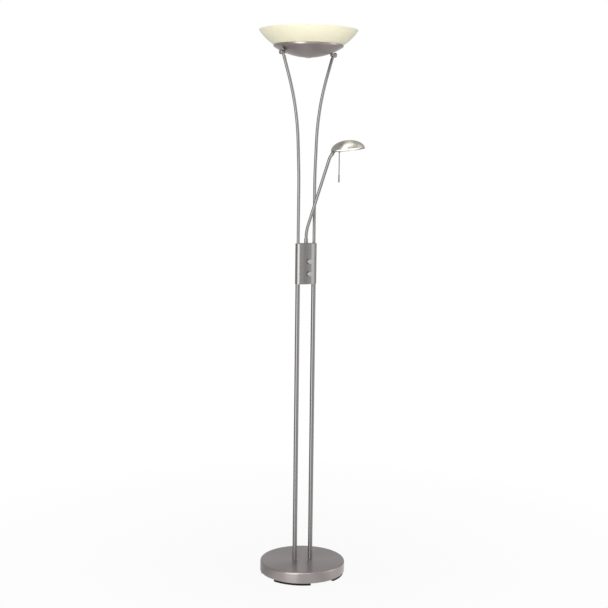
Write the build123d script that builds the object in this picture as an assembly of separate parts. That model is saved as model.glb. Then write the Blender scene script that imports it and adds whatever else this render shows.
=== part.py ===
from build123d import *
from math import atan2, cos, degrees, hypot, radians, sin, sqrt, tan
import os

# Two-pole torchiere floor lamp with a reading light on a bent arm. Millimetres, +Z up.
# The origin is on the floor under the middle of the base. The two poles stand in the X-Z plane,
# the dimmer knobs face the front, -Y, and the reading arm is parked to the right of the front.

# ---------------------------------------------------------------- driving dimensions
CLEAR = 0.3             # gap between pieces that move past each other
RUNNING = 0.05          # radial gap of a shaft that turns in its bore
SEAT = 0.15             # gap round a fixed piece in its hole

# base
PAD_T = 8.0             # rubber pads under the base
PAD_EDGE = 3.0          # curved pads, in from the cover's outside
PAD_W = 30.0
PAD_ARC = 54.0          # degrees of arc that each pad covers
PAD_COUNT = 4
MIDDLE_PAD_R = 20.0     # round pad under the middle of the plate
BASE_R = 142.0
BASE_H = 35.0           # drawn steel cover, from its lower edge to its flat top
COVER_T = 1.5
COVER_ROUND = 5.5       # radius of the cover's top edge
PLATE_T = 1.5           # sheet that closes the base from below
WEIGHT_EDGE = 10.0      # cast iron disc, in from the cover's outside
WEIGHT_T = 15.0
PLATE_SCREW_EDGE = 47.0
PLATE_SCREW_COUNT = 4
PLATE_SCREW_D = 4.0
PLATE_SCREW_HEAD_H = 2.5
PLATE_SCREW_L = 13.5
GROMMET_UP = 23.0       # cord hole in the cover's back, above the cover's lower edge
GROMMET_D = 12.0
GROMMET_HOLE_D = 7.0

# poles and stems
POLE_X = 30.0           # half the spacing of the poles
POLE_D = 15.0
POLE_WALL = 1.2
STEM_D = 10.0
STEM_WALL = 1.0
STUD_D = 9.5            # hollow threaded stud in each pole's ends
STUD_BORE = 6.0
STUD_GRIP = 25.0        # length of each stud's plug inside its pole
NUT_FLATS = 14.0
NUT_T = 5.0
WASHER_D = 15.0
WASHER_T = 1.5
SPACER_D = 18.0
STEM_LEAN = 2.3         # degrees, first outward set of the stems
STEM_LEAN_UP = 221.0    # that first corner, above the can
STEM_BEND_UP = 217.0    # corner of the main bend, above the first
STEM_LEAN_R = 1500.0
STEM_BEND_R = 800.0

# control can
CAN_Z = 981.0           # underside, and upper end of the poles
CAN_H = 133.0
CAN_SIDE = 8.7          # end of the oval, outside the poles' axes
CAN_B = 20.5            # half of its depth
CAN_WALL = 1.0
CAP_T = 4.0
COLLAR_W = 1.8          # wall of the lock collars on the stems' lower ends
COLLAR_H = 10.0
STEM_GRIP = 18.0        # length of each stem below the can's top
CAN_SCREW_D = 3.0
CAN_SCREW_Z = 14.0      # from each end of the can
KNOB_UP = [75.0, 34.0]   # knobs, above the can's underside
KNOB_NAMES = ["upper", "lower"]
KNOB_D = 16.0
KNOB_L = 10.0
KNOB_MARK_W = 1.2
DIMMER_SIZE = (20.0, 9.0, 20.0)
DIMMER_NECK_D = 9.0
DIMMER_NECK_L = 4.5
DIMMER_NUT_FLATS = 11.0
DIMMER_NUT_T = 2.0
SHAFT_D = 6.0
BOARD_SIZE = (44.0, 1.6, 84.0)
BLOCK_SIZE = (24.0, 9.0, 12.0)
CHOKE_D = 18.0
CHOKE_T = 8.0
CAPACITOR_D = 9.0
CAPACITOR_L = 14.0
HEATSINK_SIZE = (14.0, 3.0, 18.0)

# reading arm
ARM_D = 10.0
ARM_WALL = 1.0
ARM_HEADING = 30.0      # degrees from the front, -Y, towards +X, at rest
ARM_BEND_UP = 40.0      # lower bend's corner, above the can
ARM_BEND_R = 130.0
ARM_ELBOW = (84.0, 240.0)    # reach and rise of the upper bend's corner from the lower one
ARM_ELBOW_R = 45.0
ARM_NECK = (19.3, 25.0)      # reach and rise of the head's pivot from the upper bend's corner
SOCKET_W = 1.25         # wall of the sleeve that the arm turns in
SOCKET_H = 16.0         # above the can
SOCKET_GRIP = 12.0      # below the can's top face
ARM_TAIL = 26.0         # length of the arm below the can's top face
RETAINER_W = 2.5
RETAINER_T = 6.0
TIP_OVER = 0.8          # solid end fitting, proud of the arm
TIP_L = 8.0
TIP_PLUG_L = 3.0        # of the fitting, inside the arm
TIP_GAP = 13.0          # from the fitting's shoulder to the pivot
TONGUE_W = 5.0
TONGUE_H = 9.0
EYE_R = 5.5
PIN_D = 4.0
PIN_HEAD_D = 6.4
PIN_HEAD_T = 2.0

# reading head
HEAD_R = 54.5
HEAD_H = 31.0
HEAD_WALL = 1.0
HEAD_TILT = 7.0         # degrees, outer end up
PIVOT_EDGE = 8.5        # pivot, in from the dome's rim
PIVOT_UP = 6.0          # pivot, above the rim
EAR_T = 2.0
RING_T = 1.2
RING_W = 16.0           # dome's rim to the window that the glass fills
RING_SINK = 1.4         # ring's underside, above the dome's rim
NOTCH_W = 7.4
NOTCH_TOP = 1.5         # notch's top, above the tongue when the head is tipped right up
SLOT_OVER = 0.5         # slot in the ring, past the window's edge
HEAD_GLASS_LAP = 1.6    # glass resting on the ring
HEAD_GLASS_T = 3.0
REFLECTOR_T = 0.8
HEAD_SOCKET_SIZE = (14.0, 18.0, 12.0)
HEAD_BULB_D = 12.0
HEAD_BULB_L = 36.0
HEAD_BULB_LIFT = 1.4    # lamp, above the glass
ROD_EDGE = 8.5          # handle rod, in from the dome's rim
ROD_TURN = 25.0         # degrees round the head from the knuckle
ROD_D = 3.4
ROD_L = 100.5
ROD_TIP_D = 5.0
ROD_TIP_L = 24.0
ROD_BOSS_D = 7.0
ROD_BOSS_H = 4.5
RING_SCREW_EDGE = 7.0
RING_SCREW_D = 3.0

# uplighter
PIVOT_EDGE_IN = 19.7    # tilt pivots of the bowl, in from the dish's rim
PIVOT_UP_STEM = 173.5   # pivots, above the stems' main bend
DISH_R = 113.2
DISH_DROP = 12.5        # dish's bottom, below the pivots
DISH_H = 39.0
DISH_LIP = 5.0
DISH_ROUND = 4.0        # corner between the dish's face and its lip
DISH_WALL = 1.2
STEM_EYE_R = 6.0
STEM_EYE_T = 8.0
STEM_EYE_NECK = 14.0    # plug inside the stem
STEM_END_GAP = 11.0     # from the stem's end to the pivot
LUG_T = 3.0
BOLT_D = 5.0
CAP_NUT_D = 15.5
CAP_NUT_L = 6.0
FRICTION_WASHER_D = 12.0
FRICTION_WASHER_T = 1.0
PIVOT_NUT_FLATS = 7.0
PIVOT_NUT_T = 2.5
GLASS_OVER = 47.3       # rim of the glass, out from the dish's
GLASS_H = 67.0
GLASS_T = 4.0
GLASS_FOOT_R = 62.0     # flat bottom of the glass
GLASS_LIFT = 20.0       # foot of the glass, above the dish's bottom
GLASS_LIP_GAP = 0.9     # between the glass and the dish's lip
GLASS_HOLE_R = 18.0
CLAMP_R = 34.0
CLAMP_T = 2.5
GASKET_T = 1.0
NIPPLE_D = 9.5
LOW_NUT_T = 1.6         # flat round nut under the dish
LOW_NUT_R = 9.0
BRACKET_W = 20.0
BRACKET_T = 1.5
BRACKET_X = 66.0        # outside of the bracket's uprights
BRACKET_OVER = 2.5      # uprights, above the lampholders
BULB_RISE = 25.5        # tube lamp, above the bracket
BULB_D = 10.0
BULB_END = 2.5          # quartz tube to the face of each lampholder
SOCKET_SIZE = (14.0, 15.0, 18.0)
SOCKET_SEAT = 8.5       # depth of the contact's seat in each lampholder
TROUGH_W = 44.0
TROUGH_RISE = 9.0
TROUGH_END = 6.0        # trough, short of each end of the tube

# ---------------------------------------------------------------- heights and places
COVER_TOP = PAD_T + BASE_H
PLATE_TOP = PAD_T + PLATE_T
WEIGHT_TOP = PLATE_TOP + WEIGHT_T
GROMMET_Z = PAD_T + GROMMET_UP
PAD_R_OUT = BASE_R - PAD_EDGE
PAD_R_IN = PAD_R_OUT - PAD_W
WEIGHT_R = BASE_R - WEIGHT_EDGE
PLATE_SCREW_R = BASE_R - PLATE_SCREW_EDGE
CAN_A = POLE_X + CAN_SIDE
COLLAR_D = STEM_D + 2 * COLLAR_W
SOCKET_D = ARM_D + 2 * (SOCKET_W + RUNNING)
RETAINER_D = ARM_D + 2 * RETAINER_W
TIP_D = ARM_D + 2 * TIP_OVER
PIVOT_IN = HEAD_R - PIVOT_EDGE
RING_IN = HEAD_R - RING_W
SLOT_IN = RING_IN - SLOT_OVER
HEAD_GLASS_R = RING_IN + HEAD_GLASS_LAP
ROD_R = HEAD_R - ROD_EDGE
RING_SCREW_R = HEAD_R - RING_SCREW_EDGE
PIVOT_X = DISH_R - PIVOT_EDGE_IN
GLASS_RIM_R = DISH_R + GLASS_OVER
BULB_L = 2 * (BRACKET_X - BRACKET_T - SOCKET_SIZE[0] - BULB_END)
TROUGH_L = BULB_L - 2 * TROUGH_END
CAN_TOP = CAN_Z + CAN_H
KNOB_Z = [CAN_Z + up for up in KNOB_UP]
STEM_LEAN_Z = CAN_TOP + STEM_LEAN_UP
STEM_BEND_Z = STEM_LEAN_Z + STEM_BEND_UP
ARM_BEND_Z = CAN_TOP + ARM_BEND_UP
ELBOW = (ARM_ELBOW[0], ARM_BEND_Z + ARM_ELBOW[1])
KNUCKLE = (ELBOW[0] + ARM_NECK[0], ELBOW[1] + ARM_NECK[1])
PIVOT_Z = STEM_BEND_Z + PIVOT_UP_STEM
DISH_BOTTOM_Z = PIVOT_Z - DISH_DROP
DISH_RIM_Z = DISH_BOTTOM_Z + DISH_H
GLASS_FOOT_Z = DISH_BOTTOM_Z + GLASS_LIFT
GLASS_RIM_Z = GLASS_FOOT_Z + GLASS_H
FRONT = (0, -1, 0)
UP = (0, 0, 1)
DOWN = (0, 0, -1)
SIDES = [-1, 1]


def cylinder_from(start, direction, length, radius, bore=0.0):
    """A round bar, or a tube with a bore, from a point along a direction."""
    bar = extrude(Circle(radius) - Circle(bore) if bore else Circle(radius), length)
    return Plane(origin=start, z_dir=direction) * bar


def hex_from(start, direction, length, flats, bore):
    """A hexagonal nut with a bore, from a point along a direction."""
    outline = RegularPolygon(flats / 2, 6, major_radius=False) - Circle(bore / 2)
    return Plane(origin=start, z_dir=direction) * extrude(outline, length)


def block(size, centre):
    return Pos(*centre) * Box(*size)


def tube_along(path, diameter, wall):
    section = Circle(diameter / 2) - Circle(diameter / 2 - wall)
    return sweep(Plane(origin=path @ 0, z_dir=path % 0) * section, path)


def turned(outline):
    """A ring or bowl turned from an outline of reach and height."""
    return revolve(outline, Axis.Z)


def oval(a, b):
    return Ellipse(a, b)


def group(solids):
    return Compound(children=list(solids))


# ---------------------------------------------------------------- base
def at_poles(make):
    return [make(side * POLE_X) for side in SIDES]


def base_cover():
    shell = Pos(0, 0, PAD_T) * extrude(Circle(BASE_R), BASE_H)
    shell = fillet(shell.edges().group_by(Axis.Z)[-1], COVER_ROUND)
    hollow = Pos(0, 0, PAD_T) * extrude(Circle(BASE_R - COVER_T), BASE_H - COVER_T)
    hollow = fillet(hollow.edges().group_by(Axis.Z)[-1], COVER_ROUND - COVER_T)
    shell -= hollow
    for x in (-POLE_X, POLE_X):
        shell -= cylinder_from((x, 0, COVER_TOP + 1), DOWN, COVER_T + 2, STUD_D / 2 + SEAT)
    return shell - cylinder_from((0, BASE_R - 10, GROMMET_Z), (0, 1, 0), 20, GROMMET_D / 2)


def base_weight():
    disc = Pos(0, 0, PLATE_TOP) * extrude(Circle(WEIGHT_R), WEIGHT_T)
    pocket_h = NUT_T + WASHER_T + SEAT
    for x in (-POLE_X, POLE_X):
        disc -= cylinder_from((x, 0, PLATE_TOP), UP, WEIGHT_T, STUD_D / 2 + SEAT)
        disc -= cylinder_from((x, 0, PLATE_TOP), UP, pocket_h, NUT_FLATS / 2 + 3)
    for place in plate_screw_places():
        disc -= cylinder_from((place.X, place.Y, PLATE_TOP), UP, WEIGHT_T, PLATE_SCREW_D / 2)
    return disc


def plate_screw_places():
    step = 360 / PLATE_SCREW_COUNT
    return [Vector(PLATE_SCREW_R, 0).rotate(Axis.Z, i * step) for i in range(PLATE_SCREW_COUNT)]


def base_plate():
    sheet = Pos(0, 0, PAD_T) * extrude(Circle(BASE_R - COVER_T - SEAT), PLATE_T)
    for place in plate_screw_places():
        sheet -= cylinder_from((place.X, place.Y, PAD_T), UP, PLATE_T, PLATE_SCREW_D / 2)
    return sheet


def plate_screw(place):
    low = PAD_T - PLATE_SCREW_HEAD_H
    shank = cylinder_from((place.X, place.Y, PAD_T), UP, PLATE_SCREW_L, PLATE_SCREW_D / 2)
    head = cylinder_from((place.X, place.Y, low), UP, PLATE_SCREW_HEAD_H, PLATE_SCREW_D)
    slot = block((PLATE_SCREW_D * 2, 1.0, 1.0), (place.X, place.Y, low))
    return shank + head - slot


def rubber_pad(middle):
    ring = Circle(PAD_R_OUT) - Circle(PAD_R_IN)
    reach = PAD_R_OUT * 2
    half = radians(PAD_ARC / 2)
    wedge = make_face(Polyline((0, 0), (reach * cos(half), -reach * sin(half)),
                               (reach * cos(half), reach * sin(half)), close=True))
    pad = extrude(ring & wedge, PAD_T)
    return Rot(0, 0, middle) * pad


def rubber_pads():
    """Four curved pads near the rim and a round one in the middle, all resting on the floor."""
    step = 360 / PAD_COUNT
    curved = [rubber_pad(step * (i + 0.5)) for i in range(PAD_COUNT)]
    return [*curved, cylinder_from((0, 0, 0), UP, PAD_T, MIDDLE_PAD_R)]


def foot_stud(x):
    """Plug in the pole's lower end, with a hollow threaded stud down through cover and weight."""
    plug_r = POLE_D / 2 - POLE_WALL
    lowest = PLATE_TOP + SEAT
    stud = cylinder_from((x, 0, lowest), UP, COVER_TOP - lowest, STUD_D / 2, STUD_BORE / 2)
    return stud + cylinder_from((x, 0, COVER_TOP), UP, STUD_GRIP, plug_r, STUD_BORE / 2)


def foot_spacer(x):
    height = COVER_TOP - COVER_T - WEIGHT_TOP
    return cylinder_from((x, 0, WEIGHT_TOP), UP, height, SPACER_D / 2, STUD_D / 2 + SEAT)


def foot_washer(x):
    top = PLATE_TOP + NUT_T + WASHER_T + SEAT
    return cylinder_from((x, 0, top), DOWN, WASHER_T, WASHER_D / 2, STUD_D / 2)


def foot_nut(x):
    top = PLATE_TOP + NUT_T + SEAT
    return hex_from((x, 0, top), DOWN, NUT_T - SEAT, NUT_FLATS, STUD_D)


def cord_grommet():
    flange_r = GROMMET_D / 2 + 2.5
    out = BASE_R + 4.0
    bush = cylinder_from((0, BASE_R - 6, GROMMET_Z), (0, 1, 0), out - BASE_R + 6, GROMMET_D / 2)
    back = sqrt((BASE_R - COVER_T) ** 2 - flange_r ** 2) - 2.0
    inner = cylinder_from((0, back, GROMMET_Z), (0, -1, 0), 2.0, flange_r)
    neck = cylinder_from((0, back - 2.0, GROMMET_Z), (0, 1, 0), out - back + 2.0, GROMMET_D / 2)
    outer = cylinder_from((0, BASE_R + 0.2, GROMMET_Z), (0, 1, 0), 2.2, flange_r)
    hole = cylinder_from((0, back - 10, GROMMET_Z), (0, 1, 0), 60, GROMMET_HOLE_D / 2)
    return bush + inner + neck + outer - hole


# ---------------------------------------------------------------- poles
def pole(x):
    return cylinder_from((x, 0, COVER_TOP), UP, CAN_Z - COVER_TOP, POLE_D / 2,
                         POLE_D / 2 - POLE_WALL)


def top_stud(x):
    """Plug in the pole's upper end, with a hollow threaded stud up through the can's floor."""
    plug_r = POLE_D / 2 - POLE_WALL
    high = CAN_Z + CAP_T + NUT_T + 3.0
    stud = cylinder_from((x, 0, CAN_Z), UP, high - CAN_Z, STUD_D / 2, STUD_BORE / 2)
    return stud + cylinder_from((x, 0, CAN_Z), DOWN, STUD_GRIP, plug_r, STUD_BORE / 2)


def top_nut(x):
    nut = hex_from((x, 0, CAN_Z + CAP_T), UP, NUT_T, NUT_FLATS, STUD_D)
    return nut & can_room(SEAT)


# ---------------------------------------------------------------- control can
def can_room(gap):
    """The space inside the can's wall, drawn in by a gap."""
    inside = oval(CAN_A - CAN_WALL - gap, CAN_B - CAN_WALL - gap)
    return Pos(0, 0, CAN_Z) * extrude(inside, CAN_H)


def can_screw_holes(depth):
    heights = (CAN_Z + CAN_SCREW_Z, CAN_TOP - CAN_SCREW_Z)
    starts = [(0, CAN_B + 1, z) for z in heights]
    return [cylinder_from(start, FRONT, depth, CAN_SCREW_D / 2) for start in starts]


def control_can():
    shell = Pos(0, 0, CAN_Z) * extrude(oval(CAN_A, CAN_B), CAN_H)
    shell -= can_room(0)
    for z in KNOB_Z:
        shell -= cylinder_from((0, -CAN_B - 1, z), (0, 1, 0), 4, DIMMER_NECK_D / 2)
    for hole in can_screw_holes(4.0):
        shell -= hole
    return shell


def cap_tab(z, direction):
    """Tab on a cap, up or down the can's back, that a case screw bites into."""
    back = CAN_B - CAN_WALL - SEAT
    tab = block((10, 3, CAN_SCREW_Z + 5), (0, back - 2.2, z + direction * (CAN_SCREW_Z + 5) / 2))
    return tab & can_room(SEAT)


def can_bottom_cap():
    plate = Pos(0, 0, CAN_Z) * extrude(oval(CAN_A - CAN_WALL - SEAT, CAN_B - CAN_WALL - SEAT), CAP_T)
    plate += cap_tab(CAN_Z, 1)
    for x in (-POLE_X, POLE_X):
        plate -= cylinder_from((x, 0, CAN_Z), UP, CAP_T, STUD_D / 2)
    return plate - can_screw_holes(8.0)[0]


def can_top_cap():
    under = CAN_TOP - CAP_T
    plate = Pos(0, 0, under) * extrude(oval(CAN_A - CAN_WALL - SEAT, CAN_B - CAN_WALL - SEAT), CAP_T)
    plate += cap_tab(CAN_TOP, -1)
    for x in (-POLE_X, POLE_X):
        plate -= cylinder_from((x, 0, under), UP, CAP_T, STEM_D / 2)
    plate -= cylinder_from((0, 0, under), UP, CAP_T, SOCKET_D / 2)
    return plate - can_screw_holes(8.0)[1]


def can_screw(z):
    head = cylinder_from((0, CAN_B, z), (0, 1, 0), 1.6, CAN_SCREW_D)
    shank = cylinder_from((0, CAN_B, z), FRONT, 6.0, CAN_SCREW_D / 2)
    slot = block((CAN_SCREW_D * 2, 1.2, 0.8), (0, CAN_B + 1.6, z))
    return head + shank - slot


def stem_collar(x):
    top = CAN_TOP - CAP_T
    ring = cylinder_from((x, 0, top), DOWN, COLLAR_H, COLLAR_D / 2, STEM_D / 2)
    return ring & can_room(SEAT)


DIMMER_FACE = -(CAN_B - CAN_WALL) + 3.6     # front of each dimmer's body
DIMMER_BACK = DIMMER_FACE + DIMMER_SIZE[1]


def dimmer_body(z):
    wide, deep, high = DIMMER_SIZE
    body = block(DIMMER_SIZE, (0, DIMMER_FACE + deep / 2, z))
    neck_l = DIMMER_FACE + CAN_B + DIMMER_NUT_T + 0.5
    neck = cylinder_from((0, DIMMER_FACE, z), FRONT, neck_l, DIMMER_NECK_D / 2 - SEAT)
    bore = cylinder_from((0, DIMMER_BACK - 2, z), FRONT, 40, SHAFT_D / 2 + RUNNING)
    return body + neck - bore


def dimmer_nut(z):
    """Ring nut that holds the dimmer's neck to the can's wall, hidden in the knob's hollow."""
    seat = -CAN_B - 0.02
    return hex_from((0, seat, z), FRONT, DIMMER_NUT_T, DIMMER_NUT_FLATS, DIMMER_NECK_D - 2 * SEAT)


KNOB_BACK = -CAN_B - CLEAR - 0.5


def dimmer_shaft(z):
    length = DIMMER_BACK - 2 - RUNNING - (KNOB_BACK - KNOB_L + 2.0)
    return cylinder_from((0, DIMMER_BACK - 2 - RUNNING, z), FRONT, length, SHAFT_D / 2)


def knob(z):
    """Turned metal knob, hollow behind to clear the nut, with a sighting groove on its face."""
    face = KNOB_BACK - KNOB_L
    cap = cylinder_from((0, KNOB_BACK, z), FRONT, KNOB_L, KNOB_D / 2)
    cap = fillet(cap.edges().group_by(Axis.Y)[0], 1.6)
    cap = chamfer(cap.edges().group_by(Axis.Y)[-1], 0.4)
    hollow_r = DIMMER_NUT_FLATS / 2 / cos(radians(30)) + CLEAR
    cap -= cylinder_from((0, KNOB_BACK, z), FRONT, DIMMER_NUT_T + 1.2, hollow_r)
    cap -= cylinder_from((0, KNOB_BACK, z), FRONT, KNOB_L - 2.0, SHAFT_D / 2)
    mark = block((KNOB_MARK_W, 0.8, KNOB_D / 2), (0, face, z + KNOB_D / 4 + 1))
    return cap - mark


def dimmer_board():
    mid = (KNOB_Z[0] + KNOB_Z[1]) / 2
    board_y = DIMMER_BACK + BOARD_SIZE[1] / 2
    return block(BOARD_SIZE, (0, board_y, mid))


def board_parts():
    """Choke, capacitor and heat sink on the back of the dimmer board."""
    back = DIMMER_BACK + BOARD_SIZE[1]
    mid = (KNOB_Z[0] + KNOB_Z[1]) / 2
    choke = cylinder_from((-8, back, mid + 26), (0, 1, 0), CHOKE_T, CHOKE_D / 2, CHOKE_D / 4)
    can = cylinder_from((10, back + CAPACITOR_D / 2, mid + 10), UP, CAPACITOR_L, CAPACITOR_D / 2)
    wide, thick, high = HEATSINK_SIZE
    sink = block((wide, thick, high), (0, back + thick / 2, mid - 12))
    return [choke, can, sink]


def terminal_block():
    back = DIMMER_BACK + BOARD_SIZE[1]
    wide, deep, high = BLOCK_SIZE
    mid = (KNOB_Z[0] + KNOB_Z[1]) / 2
    body = block(BLOCK_SIZE, (0, back + deep / 2, mid - 33))
    for i in range(3):
        x = (i - 1) * wide / 3
        body -= cylinder_from((x, back + deep, mid - 33), FRONT, 4, 1.8)
    return body


# ---------------------------------------------------------------- stems
def stem_points(side):
    run = (STEM_BEND_Z - STEM_LEAN_Z) * tan(radians(STEM_LEAN))
    foot = CAN_TOP - STEM_GRIP
    return [(side * POLE_X, 0, foot), (side * POLE_X, 0, STEM_LEAN_Z),
            (side * (POLE_X + run), 0, STEM_BEND_Z), (side * PIVOT_X, 0, PIVOT_Z)]


def stem_top_direction(side):
    points = stem_points(side)
    return (Vector(*points[3]) - Vector(*points[2])).normalized()


def stem(side):
    points = stem_points(side)
    points[3] = tuple(Vector(*points[3]) - stem_top_direction(side) * STEM_END_GAP)
    path = FilletPolyline(*points, radius=[STEM_LEAN_R, STEM_BEND_R])
    return tube_along(path, STEM_D, STEM_WALL)


def stem_eye(side):
    """Plug in the stem's top end, with a round eye for the pivot bolt."""
    centre = Vector(side * PIVOT_X, 0, PIVOT_Z)
    along = stem_top_direction(side)
    face = centre - Vector(side * STEM_EYE_T / 2, 0, 0)
    eye = cylinder_from(face, (side, 0, 0), STEM_EYE_T, STEM_EYE_R)
    shoulder = cylinder_from(centre - along * STEM_END_GAP, along, STEM_END_GAP, STEM_D / 2)
    slab = block((STEM_EYE_T, 30, 60), (side * PIVOT_X, 0, PIVOT_Z))
    plug = cylinder_from(centre - along * (STEM_END_GAP + STEM_EYE_NECK), along, STEM_EYE_NECK,
                         STEM_D / 2 - STEM_WALL)
    bore = cylinder_from(face - Vector(side * 5, 0, 0), (side, 0, 0), STEM_EYE_T + 10,
                         BOLT_D / 2 + RUNNING)
    return eye + (shoulder & slab) + plug - bore


# ---------------------------------------------------------------- reading arm
def arm_frame(shape):
    """Turns a shape made in the arm's own plane, reach along +X, to the arm's heading."""
    return Rot(0, 0, ARM_HEADING - 90) * shape


def arm_end_direction():
    return Vector(ARM_NECK[0], 0, ARM_NECK[1]).normalized()


def reading_arm():
    end = Vector(KNUCKLE[0], 0, KNUCKLE[1]) - arm_end_direction() * (TIP_GAP + TIP_L)
    path = FilletPolyline((0, 0, CAN_TOP - ARM_TAIL), (0, 0, ARM_BEND_Z),
                          (ELBOW[0], 0, ELBOW[1]), tuple(end),
                          radius=[ARM_BEND_R, ARM_ELBOW_R])
    return arm_frame(tube_along(path, ARM_D, ARM_WALL))


def arm_socket():
    """Sleeve fixed in the can's lid, in which the arm's foot turns."""
    foot = CAN_TOP - SOCKET_GRIP
    return cylinder_from((0, 0, foot), UP, SOCKET_GRIP + SOCKET_H, SOCKET_D / 2,
                         ARM_D / 2 + RUNNING)


def arm_retainer():
    top = CAN_TOP - SOCKET_GRIP - RUNNING
    return cylinder_from((0, 0, top), DOWN, RETAINER_T, RETAINER_D / 2, ARM_D / 2)


def arm_tip():
    """Solid end of the arm, with a flat tongue whose eye is the head's pivot."""
    along = arm_end_direction()
    pivot = Vector(KNUCKLE[0], 0, KNUCKLE[1])
    shoulder = pivot - along * TIP_GAP
    sleeve = cylinder_from(shoulder - along * TIP_L, along, TIP_L, TIP_D / 2)
    rims = sleeve.edges().filter_by(GeomType.CIRCLE)
    sleeve = fillet(rims.sort_by_distance(shoulder)[0], 1.2)
    plug_foot = shoulder - along * (TIP_L + TIP_PLUG_L)
    plug = cylinder_from(plug_foot, along, TIP_PLUG_L, ARM_D / 2 - ARM_WALL)
    plane = Plane(origin=pivot, x_dir=along, z_dir=(0, 1, 0))
    strip = Pos(-(TIP_GAP + 2) / 2, 0) * Rectangle(TIP_GAP + 2, TONGUE_H)
    tongue = plane * extrude(Circle(EYE_R) + strip, TONGUE_W / 2, both=True)
    bore = cylinder_from(pivot - Vector(0, 10, 0), (0, 1, 0), 20, PIN_D / 2 + RUNNING)
    return arm_frame(sleeve + plug + tongue - bore)


# ---------------------------------------------------------------- reading head
def head_frame(shape):
    """Moves a shape made about the head's own axis, rim at zero, to its place on the arm."""
    tilt = Rot(0, -HEAD_TILT, 0)
    to_pivot = Pos(PIVOT_IN, 0, -PIVOT_UP)
    return arm_frame(Pos(KNUCKLE[0], 0, KNUCKLE[1]) * tilt * to_pivot * shape)


def dome_solid(reach, height):
    """Half of a flattened ball, standing on zero."""
    quarter = Ellipse(reach, height) & Rectangle(reach, height, align=(Align.MIN, Align.MIN))
    return turned(Plane.XZ * quarter)


def head_notch():
    """Way in for the arm's tongue, through the dome's rim and the ring."""
    long = HEAD_R - SLOT_IN + 2
    high = PIVOT_UP + TONGUE_H / 2 + NOTCH_TOP
    return block((long, NOTCH_W, high + 4), (-HEAD_R - 2 + long / 2, 0, high / 2 - 2))


def ring_screw_places():
    return [Vector(RING_SCREW_R, 0).rotate(Axis.Z, turn) for turn in (0, 120, -120)]


def head_dome():
    shell = dome_solid(HEAD_R, HEAD_H) - dome_solid(HEAD_R - HEAD_WALL, HEAD_H - HEAD_WALL)
    return head_frame(shell - head_notch())


def ear(side):
    """Upright ear of the ring, on one side of the arm's tongue."""
    inner = TONGUE_W / 2 + CLEAR
    plane = Plane(origin=(-PIVOT_IN, side * (inner + EAR_T / 2), PIVOT_UP), z_dir=(0, 1, 0),
                  x_dir=(1, 0, 0))
    foot_h = PIVOT_UP - RING_SINK
    leg = Pos(0, foot_h / 2) * Rectangle(2 * EYE_R, foot_h)
    plate = plane * extrude(Circle(EYE_R) + leg, EAR_T / 2, both=True)
    bore = cylinder_from((-PIVOT_IN, -20, PIVOT_UP), (0, 1, 0), 40, PIN_D / 2)
    return plate - bore


def head_ring():
    """Sheet ring that closes the dome round the glass and carries the two pivot ears."""
    share = (RING_SINK + RING_T) / (HEAD_H - HEAD_WALL)
    outer = (HEAD_R - HEAD_WALL) * sqrt(1 - share ** 2) - SEAT
    sheet = Pos(0, 0, RING_SINK) * extrude(Circle(outer) - Circle(RING_IN), RING_T)
    slot_half = TONGUE_W / 2 + CLEAR
    long = HEAD_R - SLOT_IN + 2
    sheet -= block((long, 2 * slot_half, 8), (-HEAD_R - 2 + long / 2, 0, RING_SINK))
    for side in SIDES:
        sheet += ear(side)
    for place in ring_screw_places():
        sheet -= cylinder_from((place.X, place.Y, 0), UP, 6, RING_SCREW_D / 2)
    return head_frame(sheet)


def head_glass():
    low = RING_SINK + RING_T
    disc = Pos(0, 0, low) * extrude(Circle(HEAD_GLASS_R), HEAD_GLASS_T)
    window = Pos(0, 0, RING_SINK - 0.6) * extrude(Circle(RING_IN - CLEAR), RING_T + 0.6 + 0.1)
    window = fillet(window.edges().group_by(Axis.Z)[0], 0.5)
    return head_frame(disc + window)


def head_reflector():
    """Spun aluminium reflector inside the dome, above the bulb."""
    low = RING_SINK + RING_T + HEAD_GLASS_T + 0.6
    rim = RING_IN - 1.0
    high = HEAD_H - HEAD_WALL - 3.0
    outer = dome_solid(rim, high - low)
    inner = dome_solid(rim - REFLECTOR_T, high - low - REFLECTOR_T)
    shell = Pos(0, 0, low) * (outer - inner)
    cut = block((30, 24, 40), (-rim, 0, low + 6))
    return head_frame(shell - cut)


BULB_UP = RING_SINK + RING_T + HEAD_GLASS_T + HEAD_BULB_LIFT + HEAD_BULB_D / 2


def head_socket():
    """Ceramic bi-pin lampholder lying inside the dome, next to the knuckle."""
    wide, deep, high = HEAD_SOCKET_SIZE
    x = -PIVOT_IN + EYE_R + 1.0 + wide / 2
    body = block(HEAD_SOCKET_SIZE, (x, 0, BULB_UP))
    return head_frame(body)


def head_bulb():
    start = -PIVOT_IN + EYE_R + 1.0 + HEAD_SOCKET_SIZE[0]
    glass = cylinder_from((start + 4, 0, BULB_UP), (1, 0, 0), HEAD_BULB_L - 4, HEAD_BULB_D / 2)
    glass = fillet(glass.edges().sort_by(Axis.X)[-1], HEAD_BULB_D / 2 - 1)
    press = block((5, 8, 4), (start + 2.5, 0, BULB_UP))
    return head_frame(glass + press)


def knuckle_pin():
    half = TONGUE_W / 2 + CLEAR + EAR_T
    shank = cylinder_from((0, -half - PIN_HEAD_T, 0), (0, 1, 0), 2 * half + PIN_HEAD_T, PIN_D / 2)
    head = cylinder_from((0, half, 0), (0, 1, 0), PIN_HEAD_T, PIN_HEAD_D / 2)
    nut = hex_from((0, -half, 0), FRONT, PIN_HEAD_T, PIN_HEAD_D * 0.86, PIN_D)
    return head_frame(Pos(-PIVOT_IN, 0, PIVOT_UP) * (shank + head + nut))


def rod_top():
    turn = radians(180 - ROD_TURN)
    return Vector(ROD_R * cos(turn), ROD_R * sin(turn), RING_SINK)


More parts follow.
